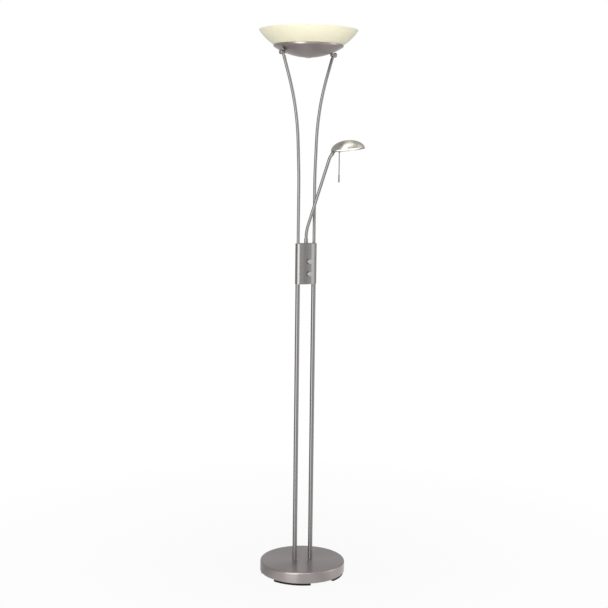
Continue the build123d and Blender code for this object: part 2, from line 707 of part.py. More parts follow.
def rod_frame(shape):
    """Hangs a shape plumb below the ring, at the handle's boss."""
    place = rod_top()
    return head_frame(Pos(place.X, place.Y, place.Z) * Rot(0, HEAD_TILT, 0) * shape)


def handle_rod():
    boss = cylinder_from((0, 0, 0.8), DOWN, ROD_BOSS_H + 0.8, ROD_BOSS_D / 2)
    above = Pos(0, 0, 0) * Rot(0, -HEAD_TILT, 0) * Pos(0, 0, 10) * Box(30, 30, 20)
    boss = fillet((boss).edges().group_by(Axis.Z)[0], 1.0) - above
    rod = cylinder_from((0, 0, -1), DOWN, ROD_L - ROD_TIP_L - 1, ROD_D / 2)
    return rod_frame(boss + rod)


def handle_tip():
    top = -(ROD_L - ROD_TIP_L)
    tip = cylinder_from((0, 0, top), DOWN, ROD_TIP_L, ROD_TIP_D / 2)
    tip = fillet(tip.edges().group_by(Axis.Z)[0], ROD_TIP_D / 2 - 0.4)
    tip = chamfer(tip.edges().group_by(Axis.Z)[-1], 0.5)
    return rod_frame(tip)


def ring_screw(place):
    head = cylinder_from((place.X, place.Y, RING_SINK), DOWN, 1.0, RING_SCREW_D)
    shank = cylinder_from((place.X, place.Y, RING_SINK), UP, 5.0, RING_SCREW_D / 2)
    slot = block((RING_SCREW_D * 2, 0.7, 0.8), (place.X, place.Y, RING_SINK - 1.0))
    return head_frame(head + shank - slot)


# ---------------------------------------------------------------- uplighter
def dish_sphere_r():
    rise = DISH_RIM_Z - DISH_LIP - DISH_BOTTOM_Z
    return (DISH_R ** 2 + rise ** 2) / (2 * rise)


def dish_height(reach):
    """Height of the dish's outer face at a distance from its axis."""
    radius = dish_sphere_r()
    return DISH_BOTTOM_Z + radius - sqrt(radius ** 2 - reach ** 2)


def dish_solid(drawn_in):
    """The dish filled in, up to its rim, with its face drawn in by a wall."""
    reach = DISH_R - drawn_in
    radius = dish_sphere_r() - drawn_in
    centre_z = DISH_BOTTOM_Z + dish_sphere_r()
    edge_z = centre_z - sqrt(radius ** 2 - reach ** 2)
    low = centre_z - radius
    half = reach / 2
    middle_z = centre_z - sqrt(radius ** 2 - half ** 2)
    arc = ThreePointArc((0, low), (half, middle_z), (reach, edge_z))
    sides = Polyline((reach, edge_z), (reach, DISH_RIM_Z), (0, DISH_RIM_Z), (0, low))
    bowl = turned(make_face(Plane.XZ * Wire([*arc.edges(), *sides.edges()])))
    corner = bowl.edges().filter_by(GeomType.CIRCLE).group_by(Axis.Z)[-2]
    return fillet(corner, DISH_ROUND - drawn_in)


def uplight_dish():
    shell = dish_solid(0) - dish_solid(DISH_WALL)
    hole = cylinder_from((0, 0, DISH_BOTTOM_Z - 5), UP, 15, NIPPLE_D / 2)
    return shell - hole


EYE_INNER = PIVOT_X - STEM_EYE_T / 2
LUG_OUT = EYE_INNER - CLEAR
LUG_IN = LUG_OUT - LUG_T


def pivot_lug(side):
    """Plate under the dish, inboard of the stem's eye, that the pivot bolt is fixed in."""
    x = side * (LUG_IN + LUG_OUT) / 2
    top = dish_height(LUG_OUT) + 6
    plane = Plane(origin=(x, 0, PIVOT_Z), x_dir=(0, 1, 0), z_dir=(1, 0, 0))
    height = top - PIVOT_Z
    leg = Pos(0, height / 2) * Rectangle(2 * STEM_EYE_R, height)
    plate = plane * extrude(Circle(STEM_EYE_R) + leg, LUG_T / 2, both=True)
    bore = cylinder_from((side * (LUG_IN - 5), 0, PIVOT_Z), (side, 0, 0), LUG_T + 10, BOLT_D / 2)
    return plate - dish_solid(0) - bore


def pivot_nut(side):
    return hex_from((side * LUG_IN, 0, PIVOT_Z), (-side, 0, 0), PIVOT_NUT_T, PIVOT_NUT_FLATS, BOLT_D)


WASHER_IN = PIVOT_X + STEM_EYE_T / 2 + CLEAR
CAP_NUT_IN = WASHER_IN + FRICTION_WASHER_T


def friction_washer(side):
    return cylinder_from((side * WASHER_IN, 0, PIVOT_Z), (side, 0, 0), FRICTION_WASHER_T,
                         FRICTION_WASHER_D / 2, BOLT_D / 2)


def pivot_bolt(side):
    start = LUG_IN - PIVOT_NUT_T
    length = CAP_NUT_IN + CAP_NUT_L - 2.0 - start
    return cylinder_from((side * start, 0, PIVOT_Z), (side, 0, 0), length, BOLT_D / 2)


def pivot_cap(side):
    """Round cap nut on the outer end of the pivot bolt."""
    cap = cylinder_from((side * CAP_NUT_IN, 0, PIVOT_Z), (side, 0, 0), CAP_NUT_L, CAP_NUT_D / 2)
    outer = cap.edges().sort_by(lambda edge: side * edge.center().X)[-1]
    cap = fillet(outer, 2.2)
    bore = cylinder_from((side * CAP_NUT_IN, 0, PIVOT_Z), (side, 0, 0), CAP_NUT_L - 2.0, BOLT_D / 2)
    return cap - bore


def glass_waist():
    """Point of the glass's outer face where it passes the dish's lip."""
    return DISH_R - DISH_WALL - GLASS_LIP_GAP, DISH_RIM_Z


def glass_arc():
    """Centre and radius of the arc that the glass's outer face follows."""
    (x1, z1), (x2, z2) = (GLASS_FOOT_R, GLASS_FOOT_Z), glass_waist()
    x3, z3 = GLASS_RIM_R, GLASS_RIM_Z
    d = 2 * (x1 * (z2 - z3) + x2 * (z3 - z1) + x3 * (z1 - z2))
    s1, s2, s3 = x1 ** 2 + z1 ** 2, x2 ** 2 + z2 ** 2, x3 ** 2 + z3 ** 2
    cx = (s1 * (z2 - z3) + s2 * (z3 - z1) + s3 * (z1 - z2)) / d
    cz = (s1 * (x3 - x2) + s2 * (x1 - x3) + s3 * (x2 - x1)) / d
    return cx, cz, hypot(GLASS_RIM_R - cx, GLASS_RIM_Z - cz)


def bowl_glass():
    cx, cz, radius = glass_arc()
    inner_r = radius - GLASS_T
    floor_z = GLASS_FOOT_Z + GLASS_T
    inner_foot = cx + sqrt(inner_r ** 2 - (floor_z - cz) ** 2)
    inner_rim = cx + sqrt(inner_r ** 2 - (GLASS_RIM_Z - cz) ** 2)

    def on_arc(r, share, start, end):
        a = atan2(start[1] - cz, start[0] - cx)
        b = atan2(end[1] - cz, end[0] - cx)
        turn = a + (b - a) * share
        return cx + r * cos(turn), cz + r * sin(turn)

    foot, rim = (GLASS_FOOT_R, GLASS_FOOT_Z), (GLASS_RIM_R, GLASS_RIM_Z)
    in_foot, in_rim = (inner_foot, floor_z), (inner_rim, GLASS_RIM_Z)
    outer = ThreePointArc(foot, on_arc(radius, 0.5, foot, rim), rim)
    inner = ThreePointArc(in_rim, on_arc(inner_r, 0.5, in_foot, in_rim), in_foot)
    edges = [*outer.edges(), *Line(rim, in_rim).edges(), *inner.edges(),
             *Polyline(in_foot, (GLASS_HOLE_R, floor_z), (GLASS_HOLE_R, GLASS_FOOT_Z), foot).edges()]
    bowl = turned(make_face(Plane.XZ * Wire(edges)))
    return fillet(bowl.edges().group_by(Axis.Z)[-1], GLASS_T * 0.3)


CLAMP_LOW = GLASS_FOOT_Z + GLASS_T + GASKET_T
BRACKET_LOW = CLAMP_LOW + CLAMP_T
BULB_Z = BRACKET_LOW + BULB_RISE
BRACKET_H = BULB_RISE - 1 + SOCKET_SIZE[2] / 2 + BRACKET_OVER


def bowl_spacer():
    """Tube between the dish and the foot of the glass, with a flange that the glass stands on."""
    low = DISH_BOTTOM_Z + DISH_WALL
    flange = GLASS_FOOT_Z - GASKET_T
    shank = cylinder_from((0, 0, low + 0.3), UP, flange - low - 0.3, 9.0, NIPPLE_D / 2)
    return shank + cylinder_from((0, 0, flange - 2), UP, 2, CLAMP_R, NIPPLE_D / 2)


def glass_gaskets():
    low = cylinder_from((0, 0, GLASS_FOOT_Z - GASKET_T), UP, GASKET_T, CLAMP_R, GLASS_HOLE_R)
    high = cylinder_from((0, 0, CLAMP_LOW - GASKET_T), UP, GASKET_T, CLAMP_R, GLASS_HOLE_R)
    return [low, high]


def glass_clamp():
    return cylinder_from((0, 0, CLAMP_LOW), UP, CLAMP_T, CLAMP_R, NIPPLE_D / 2)


def centre_nipple():
    """Hollow threaded tube through dish, glass and bracket."""
    low = DISH_BOTTOM_Z - LOW_NUT_T
    high = BRACKET_LOW + BRACKET_T + NUT_T + 1.5
    return cylinder_from((0, 0, low), UP, high - low, NIPPLE_D / 2, STUD_BORE / 2)


def centre_nuts():
    high = hex_from((0, 0, BRACKET_LOW + BRACKET_T), UP, NUT_T, NUT_FLATS, NIPPLE_D)
    low = cylinder_from((0, 0, dish_height(LOW_NUT_R)), DOWN,
                        dish_height(LOW_NUT_R) - DISH_BOTTOM_Z + LOW_NUT_T, LOW_NUT_R)
    low = fillet(low.edges().group_by(Axis.Z)[0], LOW_NUT_T * 0.6) - dish_solid(0)
    return [high, low - cylinder_from((0, 0, 0), UP, BRACKET_LOW, NIPPLE_D / 2)]


def lamp_bracket():
    """Bent steel strip that holds the two lampholders."""
    base = block((2 * BRACKET_X, BRACKET_W, BRACKET_T), (0, 0, BRACKET_LOW + BRACKET_T / 2))
    for side in SIDES:
        x = side * (BRACKET_X - BRACKET_T / 2)
        base += block((BRACKET_T, BRACKET_W, BRACKET_H), (x, 0, BRACKET_LOW + BRACKET_H / 2))
    return base - cylinder_from((0, 0, BRACKET_LOW), UP, BRACKET_T, NIPPLE_D / 2)


def lamp_socket(side):
    """Ceramic end holder for the tube lamp, with the dished seat of its contact."""
    wide, deep, high = SOCKET_SIZE
    x = side * (BRACKET_X - BRACKET_T - wide / 2)
    body = block(SOCKET_SIZE, (x, 0, BULB_Z - 1))
    face = BRACKET_X - BRACKET_T - wide
    mouth = (side * (face - 1), 0, BULB_Z)
    seat = cylinder_from(mouth, (side, 0, 0), SOCKET_SEAT + 1, BULB_D / 2 - 1)
    return body - seat


def tube_bulb():
    """Quartz tube lamp: a thin tube with a flat pinch and a ceramic end at each side."""
    glass = cylinder_from((-BULB_L / 2 + 8, 0, BULB_Z), (1, 0, 0), BULB_L - 16, BULB_D / 2)
    end = BRACKET_X - BRACKET_T - SOCKET_SIZE[0] + SOCKET_SEAT - SEAT
    for side in SIDES:
        pinch = BULB_L / 2 - 8
        glass += block((6, BULB_D - 2, 3), (side * (pinch + 2), 0, BULB_Z))
        glass += cylinder_from((side * (pinch + 4), 0, BULB_Z), (side, 0, 0), end - pinch - 4,
                               BULB_D / 2 - 1.5)
    return glass


def reflector_trough():
    """Shallow aluminium trough under the tube lamp."""
    low = BRACKET_LOW + BRACKET_T + NUT_T + 2.5
    half = TROUGH_W / 2
    outer = ThreePointArc((-half, low + TROUGH_RISE), (0, low), (half, low + TROUGH_RISE))
    inner = ThreePointArc((half, low + TROUGH_RISE + 1), (0, low + 1), (-half, low + TROUGH_RISE + 1))
    lips = [Line((x, low + TROUGH_RISE), (x, low + TROUGH_RISE + 1)) for x in (half, -half)]
    edges = [edge for line in (outer, inner, *lips) for edge in line.edges()]
    section = make_face(Wire(edges))
    trough = Plane.YZ * extrude(section, TROUGH_L / 2, both=True)
    leg_h = low + 0.5 - (BRACKET_LOW + BRACKET_T)
    for side in SIDES:
        x = side * (TROUGH_L / 2 - 12)
        trough += block((4, 10, leg_h), (x, 0, BRACKET_LOW + BRACKET_T + leg_h / 2))
    return trough


# ---------------------------------------------------------------- write the parts
def parts():
    pieces = {
        "base_cover": base_cover(),
        "base_weight": base_weight(),
        "base_plate": base_plate(),
        "plate_screws": group(plate_screw(place) for place in plate_screw_places()),
        "rubber_pads": group(rubber_pads()),
        "foot_studs": group(at_poles(foot_stud)),
        "foot_spacers": group(at_poles(foot_spacer)),
        "foot_nuts": group(at_poles(foot_nut) + at_poles(foot_washer)),
        "cord_grommet": cord_grommet(),
        "pole_left": pole(-POLE_X),
        "pole_right": pole(POLE_X),
        "top_studs": group(at_poles(top_stud)),
        "top_nuts": group(at_poles(top_nut)),
        "control_can": control_can(),
        "can_bottom_cap": can_bottom_cap(),
        "can_top_cap": can_top_cap(),
        "can_screws": group(can_screw(z) for z in (CAN_Z + CAN_SCREW_Z, CAN_TOP - CAN_SCREW_Z)),
        "stem_collars": group(at_poles(stem_collar)),
        "dimmer_nuts": group(dimmer_nut(z) for z in KNOB_Z),
        "dimmer_board": dimmer_board(),
        "board_parts": group(board_parts()),
        "terminal_block": terminal_block(),
        "stem_left": stem(-1),
        "stem_right": stem(1),
        "stem_eyes": group(stem_eye(side) for side in SIDES),
        "arm_socket": arm_socket(),
        "arm_retainer": arm_retainer(),
        "reading_arm": reading_arm(),
        "arm_tip": arm_tip(),
        "head_dome": head_dome(),
        "head_ring": head_ring(),
        "head_glass": head_glass(),
        "head_reflector": head_reflector(),
        "head_socket": head_socket(),
        "head_bulb": head_bulb(),
        "knuckle_pin": knuckle_pin(),
        "handle_rod": handle_rod(),
        "handle_tip": handle_tip(),
        "ring_screws": group(ring_screw(place) for place in ring_screw_places()),
        "uplight_dish": uplight_dish(),
        "pivot_lugs": group(pivot_lug(side) for side in SIDES),
        "friction_washers": group(friction_washer(side) for side in SIDES),
        "pivot_bolts": group(make(side) for make in (pivot_bolt, pivot_nut) for side in SIDES),
        "pivot_caps": group(pivot_cap(side) for side in SIDES),
        "bowl_glass": bowl_glass(),
        "bowl_spacer": bowl_spacer(),
        "glass_gaskets": group(glass_gaskets()),
        "glass_clamp": glass_clamp(),
        "centre_nipple": centre_nipple(),
        "centre_nuts": group(centre_nuts()),
        "lamp_bracket": lamp_bracket(),
        "lamp_sockets": group(lamp_socket(side) for side in SIDES),
        "tube_bulb": tube_bulb(),
        "reflector_trough": reflector_trough(),
    }
    for name, z in zip(KNOB_NAMES, KNOB_Z):
        pieces["dimmer_" + name] = dimmer_body(z)
        pieces["shaft_" + name] = dimmer_shaft(z)
    for name, z in zip(KNOB_NAMES, KNOB_Z):
        pieces["knob_" + name] = knob(z)
    return pieces


os.makedirs("parts", exist_ok=True)
for node, shape in parts().items():
    export_step(shape, f"parts/{node}.step")
    print(node, len(shape.solids()), round(shape.volume))
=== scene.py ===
"""Floor lamp with a tilting uplighter bowl, a dimmer box and a reading light, dressed on its frame.

Metres, +Z up. The front, where the dimmers' knobs are, faces -Y."""
import math
import bpy
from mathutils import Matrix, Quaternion, Vector


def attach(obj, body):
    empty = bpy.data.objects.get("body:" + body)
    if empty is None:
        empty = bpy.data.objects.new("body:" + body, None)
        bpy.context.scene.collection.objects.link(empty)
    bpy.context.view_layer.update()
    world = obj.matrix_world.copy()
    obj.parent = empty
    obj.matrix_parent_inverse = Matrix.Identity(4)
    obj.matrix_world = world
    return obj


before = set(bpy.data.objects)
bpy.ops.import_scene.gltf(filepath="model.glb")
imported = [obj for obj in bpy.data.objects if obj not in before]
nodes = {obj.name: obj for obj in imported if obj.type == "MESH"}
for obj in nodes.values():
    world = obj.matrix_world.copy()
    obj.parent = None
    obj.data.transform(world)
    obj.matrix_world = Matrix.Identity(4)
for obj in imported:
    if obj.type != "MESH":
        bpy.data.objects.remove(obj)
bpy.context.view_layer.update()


# ---------------------------------------------------------------- base cover
# A round cover drawn from steel sheet, 284 mm across, nickel plated, brushed in rings on a lathe and
# lacquered. Its top edge is rolled over to a small radius, and it drops over the iron weight.
class Value:
    """A socket in a finish. Sums written on values add the Math nodes that work them out."""

    def __init__(self, finish, socket):
        self.finish, self.socket = finish, socket

    def maths(self, operation, first, second):
        return self.finish.node("Math", {"operation": operation}, {0: first, 1: second})

    def __add__(self, other):
        return self.maths("ADD", self, other)

    def __sub__(self, other):
        return self.maths("SUBTRACT", self, other)

    def __mul__(self, other):
        return self.maths("MULTIPLY", self, other)

    def __truediv__(self, other):
        return self.maths("DIVIDE", self, other)

    def __pow__(self, other):
        return self.maths("POWER", self, other)


MIX_SHARE, MIX_FIRST, MIX_SECOND = 0, 6, 7     # a Mix node's inputs when it mixes colours
MIX_COLOUR = 2                                 # and the output with the mixed colour


class Finish:
    """One material. node() adds any node: its type, its settings, then its sockets' values or links."""

    def __init__(self, name):
        self.material = bpy.data.materials.new(name)
        self.material.use_nodes = True
        self.tree = self.material.node_tree
        self.tree.nodes.clear()

    def node(self, kind, settings=None, sockets=None, out=0):
        made = self.tree.nodes.new("ShaderNode" + kind)
        for key, value in (settings or {}).items():
            if key == "stops":
                self.set_stops(made.color_ramp.elements, value)
            else:
                setattr(made, key, value)
        for key, value in (sockets or {}).items():
            if isinstance(value, Value):
                self.tree.links.new(value.socket, made.inputs[key])
            else:
                made.inputs[key].default_value = value
        if out == "all":
            return [Value(self, socket) for socket in made.outputs]
        return Value(self, made.outputs[out])

    @staticmethod
    def set_stops(elements, stops):
        while len(elements) < len(stops):
            elements.new(1.0)
        for element, (position, colour) in zip(elements, stops):
            element.position, element.color = position, colour

    def place(self):
        return self.node("TexCoord", out="Object")

    def noise(self, vector, scale=1.0, detail=2.0):
        return self.node("TexNoise", None, {"Vector": vector, "Scale": scale, "Detail": detail})

    def blend(self, share, first, second):
        ends = {MIX_SHARE: share, MIX_FIRST: first, MIX_SECOND: second}
        return self.node("Mix", {"data_type": "RGBA"}, ends, out=MIX_COLOUR)

    def bump(self, height, depth):
        return self.node("Bump", None, {"Strength": 1.0, "Distance": depth, "Height": height})

    def surface(self, shader):
        self.node("OutputMaterial", None, {"Surface": shader}, out="all")
        return self

    def coat(self, **sockets):
        """Ends the finish with a Principled shader, its sockets named with _ for each space."""
        named = {key.replace("_", " "): value for key, value in sockets.items()}
        return self.surface(self.node("BsdfPrincipled", None, named))


def opaque(red, green, blue):
    return (red, green, blue, 1.0)


CORNER = math.radians(32)      # corners sharper than this stay crisp
JOIN_REACH = 2e-6              # corner points nearer than this are one


def crisp_corner_tree():
    """Modifier that joins a frame piece's loose triangles for shading, with its real corners kept."""
    tree = bpy.data.node_groups.new("crisp_corners", "GeometryNodeTree")
    tree.interface.new_socket("Geometry", in_out="INPUT", socket_type="NodeSocketGeometry")
    tree.interface.new_socket("Geometry", in_out="OUTPUT", socket_type="NodeSocketGeometry")
    entry, leave = tree.nodes.new("NodeGroupInput"), tree.nodes.new("NodeGroupOutput")
    merge = tree.nodes.new("GeometryNodeMergeByDistance")
    merge.inputs["Distance"].default_value = JOIN_REACH
    faces = tree.nodes.new("GeometryNodeSetShadeSmooth")
    edges = tree.nodes.new("GeometryNodeSetShadeSmooth")
    faces.domain, edges.domain = "FACE", "EDGE"
    edges.inputs["Shade Smooth"].default_value = False
    angle = tree.nodes.new("GeometryNodeInputMeshEdgeAngle")
    sharp = tree.nodes.new("FunctionNodeCompare")
    sharp.data_type, sharp.operation = "FLOAT", "GREATER_THAN"
    sharp.inputs[1].default_value = CORNER
    tree.links.new(angle.outputs["Unsigned Angle"], sharp.inputs[0])
    tree.links.new(sharp.outputs[0], edges.inputs["Selection"])
    chain = (entry, merge, faces, edges, leave)
    for first, second in zip(chain, chain[1:]):
        tree.links.new(first.outputs[0], second.inputs[0])
    return tree


crisp_corners = crisp_corner_tree()


def dress(finish, *names):
    """Gives frame pieces their finish and smooth shading."""
    for name in names:
        piece = nodes[name]
        piece.data.materials.clear()
        piece.data.materials.append(finish.material)
        piece.modifiers.new("crisp_corners", "NODES").node_group = crisp_corners


NICKEL_DARK = opaque(0.230, 0.225, 0.220)
NICKEL_LIGHT = opaque(0.296, 0.291, 0.285)
BRUSH_FINE = 1500.0            # brush marks to the metre, times a noise cell
BRUSH_ROUND = 2.0              # how fast a ring of marks changes on its way round
AXIS_GAP = 1e-5                # keeps a ring's own axis from dividing by zero


def rings(finish, centre=(0, 0, 0), turn=(0, 0, 0)):
    """Brush marks in rings about an upright axis, or about one that is moved and turned."""
    place = finish.node("Mapping", {"vector_type": "TEXTURE"},
                        {"Vector": finish.place(), "Location": centre, "Rotation": turn})
    x, y, z = finish.node("SeparateXYZ", None, {0: place}, out="all")
    reach = (x * x + y * y) ** 0.5 + AXIS_GAP
    return finish.node("CombineXYZ", None, {0: reach * BRUSH_FINE,
                                            1: z * BRUSH_FINE + x / reach * BRUSH_ROUND,
                                            2: y / reach * BRUSH_ROUND})


def stretched(finish, scale):
    """Brush marks that run along one way, from a coordinate stretched by a scale for each axis."""
    return finish.node("VectorMath", {"operation": "MULTIPLY"}, {0: finish.place(), 1: scale})


def brushed_nickel(name, lay, rough, dark=NICKEL_DARK, light=NICKEL_LIGHT, strength=1.0):
    """Satin nickel under clear lacquer. lay(finish) gives the way that the brush marks run, and strength
    how much they show. They go round the piece, and what it mirrors is drawn out at right angles to them."""
    finish = Finish(name)
    marks = (finish.noise(lay(finish), detail=3.0) - 0.5) * strength + 0.5
    cloud = finish.noise(finish.place(), scale=14.0)
    handled = finish.noise(finish.place(), scale=60.0, detail=4.0)
    return finish.coat(Base_Color=finish.blend(marks * 0.75 + cloud * 0.25, dark, light), Metallic=1.0,
                       Roughness=marks * 0.10 + cloud * 0.06 + handled * 0.04 + (rough - 0.10),
                       Anisotropic=0.8, Anisotropic_Rotation=0.25,
                       Coat_Weight=0.08, Coat_Roughness=0.18, Normal=finish.bump(marks, depth=0.000002))


turned_nickel = brushed_nickel("turned_nickel", rings, rough=0.32, dark=opaque(0.297, 0.267, 0.261),
                               light=opaque(0.384, 0.350, 0.342))
dress(turned_nickel, "base_cover")


# ---------------------------------------------------------------- base weight and closing plate
# A rough sand-cast iron disc gives the stand its weight. A zinc-plated sheet closes the cover from
# below, held by four slotted screws, and nuts with washers pull the poles' studs down through the iron.
def cast_iron():
    finish = Finish("sand_cast_iron")
    sand = finish.noise(finish.place(), scale=420.0, detail=6.0)
    patch = finish.noise(finish.place(), scale=30.0)
    tone = finish.blend(sand * 0.6 + patch * 0.4, opaque(0.020, 0.020, 0.021), opaque(0.085, 0.080, 0.076))
    return finish.coat(Base_Color=tone, Metallic=0.3, Roughness=sand * 0.25 + 0.55,
                       Normal=finish.bump(sand, depth=0.0006))


def zinc(name, dark, light, scale, rough):
    """Zinc plating: pale crystals of slightly different tone, each a little duller or brighter."""
    finish = Finish(name)
    crystal = finish.node("TexVoronoi", None, {"Vector": finish.place(), "Scale": scale}, out="Color")
    share = finish.node("SeparateColor", None, {0: crystal})
    haze = finish.noise(finish.place(), scale=scale * 4, detail=3.0)
    return finish.coat(Base_Color=finish.blend(share * 0.7 + haze * 0.3, dark, light), Metallic=1.0,
                       Roughness=share * 0.12 + haze * 0.1 + rough, Normal=finish.bump(haze, depth=0.00003))


plated_sheet = zinc("plated_sheet", dark=opaque(0.36, 0.37, 0.38), light=opaque(0.50, 0.51, 0.51),
                    scale=120.0, rough=0.30)
plated_screws = zinc("plated_screws", dark=opaque(0.33, 0.33, 0.32), light=opaque(0.52, 0.52, 0.50),
                     scale=600.0, rough=0.22)
dress(cast_iron(), "base_weight")
dress(plated_sheet, "base_plate", "foot_spacers")
dress(plated_screws, "plate_screws", "foot_studs", "foot_nuts")


# ---------------------------------------------------------------- rubber pads and cord bush
# Four curved pads and a round one are punched from black rubber sheet with a fine grain and glued
# under the plate. The bush is a black moulded ring that keeps the cord off the cover's cut edge.
def rubber(name, grain, dark, light):
    """Rubber with a skin of small cells, so many to the metre, and a little dust."""
    finish = Finish(name)
    skin = finish.node("TexVoronoi", {"feature": "SMOOTH_F1"}, {"Vector": finish.place(), "Scale": grain})
    dust = finish.noise(finish.place(), scale=90.0, detail=5.0)
    return finish.coat(Base_Color=finish.blend(dust, dark, light), Roughness=dust * 0.2 + 0.6,
                       Specular_IOR_Level=0.2, Normal=finish.bump(skin, depth=0.0002))


dress(rubber("pad_rubber", 900.0, dark=opaque(0.006, 0.006, 0.007), light=opaque(0.018, 0.018, 0.019)),
      "rubber_pads")
dress(rubber("moulded_bush", 1600.0, dark=opaque(0.015, 0.015, 0.016), light=opaque(0.032, 0.032, 0.033)),
      "cord_grommet")


# ---------------------------------------------------------------- poles
# Two steel tubes of 15 mm stand side by side on the base. They are polished by belts that run round
# them, so the marks lie across the tube, and they are plated and lacquered like the base.
pole_nickel = brushed_nickel("pole_nickel", lambda f: stretched(f, (30, 30, BRUSH_FINE)), rough=0.27,
                             dark=opaque(0.214, 0.209, 0.204), light=opaque(0.275, 0.270, 0.265),
                             strength=0.25)
dress(pole_nickel, "pole_left", "pole_right")
dress(plated_screws, "top_studs", "top_nuts")


# ---------------------------------------------------------------- control box
# An oval tube pressed from nickel-plated steel, brushed round, with a lid and a floor set inside
# its ends and held by two small screws at the back.
can_nickel = brushed_nickel("can_nickel", lambda f: stretched(f, (16, 16, BRUSH_FINE)), rough=0.26)


def lid_paint():
    finish = Finish("lid_paint")
    speckle = finish.noise(finish.place(), scale=900.0, detail=2.0)
    tone = finish.blend(speckle, opaque(0.20, 0.195, 0.19), opaque(0.28, 0.27, 0.265))
    return finish.coat(Base_Color=tone, Metallic=0.8, Roughness=speckle * 0.1 + 0.38,
                       Normal=finish.bump(speckle, depth=0.00003))


dress(can_nickel, "control_can")
dress(lid_paint(), "can_bottom_cap", "can_top_cap")
dress(plated_screws, "can_screws", "dimmer_nuts")


# ---------------------------------------------------------------- dimmers, board and terminals
# Inside the box two potted dimmers sit on a lacquered board that also carries the choke, the
# capacitor and the heat sink. The mains ends in a white moulded terminal block.
def moulded(name, dark, light, rough, grain=700.0):
    """Moulded plastic with the fine spark grain of its tool."""
    finish = Finish(name)
    spark = finish.noise(finish.place(), scale=grain, detail=3.0)
    flow = finish.noise(finish.place(), scale=40.0)
    return finish.coat(Base_Color=finish.blend(flow, dark, light), Roughness=spark * 0.15 + rough,
                       Normal=finish.bump(spark, depth=0.00005))


dress(moulded("black_moulding", opaque(0.018, 0.018, 0.020), opaque(0.035, 0.035, 0.038), rough=0.42),
      "dimmer_upper", "dimmer_lower", "board_parts")
dress(moulded("board_lacquer", opaque(0.030, 0.110, 0.045), opaque(0.050, 0.160, 0.070), rough=0.20,
              grain=300.0), "dimmer_board")
dress(moulded("terminal_white", opaque(0.66, 0.65, 0.61), opaque(0.74, 0.73, 0.69), rough=0.40),
      "terminal_block")


# ---------------------------------------------------------------- knobs
# Each dimmer has a small turned knob with a rounded front edge and a sighting groove. It is faced on
# the lathe, so rings run round its front, and it is pushed onto a steel shaft.
KNOB_CENTRES = {"upper": (0, -0.031, 1.056), "lower": (0, -0.031, 1.015)}
FACING_FORWARD = (math.radians(90), 0, 0)

# The knobs' nickel is painted about twice as light as the box's: a painted highlight for the bright spots
# that light makes on them.
for level, centre in KNOB_CENTRES.items():
    knob_nickel_painted_highlight = brushed_nickel(f"knob_nickel_painted_highlight_{level}", lambda f: rings(f, centre, FACING_FORWARD),
                                 rough=0.26, dark=opaque(0.43, 0.414, 0.404),
                                 light=opaque(0.56, 0.542, 0.530))
    dress(knob_nickel_painted_highlight, f"knob_{level}")
    dress(plated_screws, f"shaft_{level}")


# ---------------------------------------------------------------- stems
# Two thinner tubes of 10 mm rise from the box and bend outwards to the bowl. Solid eyes are pressed
# into their tops, and lock collars hold them under the box's lid.
stem_nickel = brushed_nickel("stem_nickel", lambda f: stretched(f, (40, 40, BRUSH_FINE)), rough=0.26,
                             strength=0.25)
dress(stem_nickel, "stem_left", "stem_right", "stem_eyes")
dress(plated_screws, "stem_collars")


# ---------------------------------------------------------------- reading arm
# A bent tube of 10 mm turns in a sleeve in the box's lid. A solid end fitting carries the flat tongue
# that the reading head tips on.
dress(stem_nickel, "reading_arm", "arm_tip", "arm_socket")
dress(plated_screws, "arm_retainer")


# ---------------------------------------------------------------- reading head
# A spun dome of thin steel, brushed in rings about its own axis, with a ring that closes it round a
# disc of frosted glass. The knuckle pin, three screws and the hanging handle are turned from solid metal.
HEAD_CENTRE = (0.0745, -0.1290, 1.4187)                # on the dome's axis
HEAD_TURN = (0, math.radians(-7), math.radians(-60))   # that axis, from upright
GLOW_FADE = 18.0                                       # to the metre, outwards from the head's centre


def head_rings(finish):
    return rings(finish, HEAD_CENTRE, HEAD_TURN)


# The dome and its ring get a lighter, warmer nickel than the rest of the lamp: a painted warm sheen for the
# light that falls on the head.
dome_nickel_painted_sheen = brushed_nickel("dome_nickel_painted_sheen", head_rings, rough=0.37, dark=opaque(0.46, 0.434, 0.390),
                             light=opaque(0.59, 0.560, 0.508), strength=0.5)
# The handle, its tip, the knuckle pin and the ring screws get a darker nickel than the rest: painted shade
# that dims the highlights on these small parts.
solid_turned_painted_shade = brushed_nickel("solid_turned_painted_shade", lambda f: stretched(f, (90, 90, BRUSH_FINE)), rough=0.28,
                               dark=opaque(0.19, 0.188, 0.182), light=opaque(0.25, 0.247, 0.240),
                               strength=0.4)
dress(dome_nickel_painted_sheen, "head_dome", "head_ring")
dress(solid_turned_painted_shade, "handle_rod", "handle_tip", "knuckle_pin", "ring_screws")


def frosted_glass():
    """Etched glass, lit from behind by its lamp: a fine tooth, and a glow that fades to its edge."""
    finish = Finish("frosted_glass")
    tooth = finish.noise(finish.place(), scale=2600.0, detail=2.0)
    away = finish.node("VectorMath", {"operation": "DISTANCE"}, {0: finish.place(), 1: HEAD_CENTRE},
                       out="Value")
    glow = finish.blend(away * GLOW_FADE, opaque(1.0, 0.985, 0.94), opaque(0.80, 0.78, 0.72))
    return finish.coat(Base_Color=opaque(0.86, 0.86, 0.84), Roughness=tooth * 0.15 + 0.40,
                       Emission_Color=glow, Emission_Strength=0.75,
                       Normal=finish.bump(tooth, depth=0.00004))


def spun_aluminium(name, lay):
    finish = Finish(name)
    marks = finish.noise(lay(finish), detail=2.0)
    return finish.coat(Base_Color=finish.blend(marks, opaque(0.70, 0.70, 0.70), opaque(0.84, 0.84, 0.83)),
                       Metallic=1.0, Roughness=marks * 0.1 + 0.12, Normal=finish.bump(marks, depth=0.00002))


dress(frosted_glass(), "head_glass")
dress(spun_aluminium("head_reflector_metal", head_rings), "head_reflector")


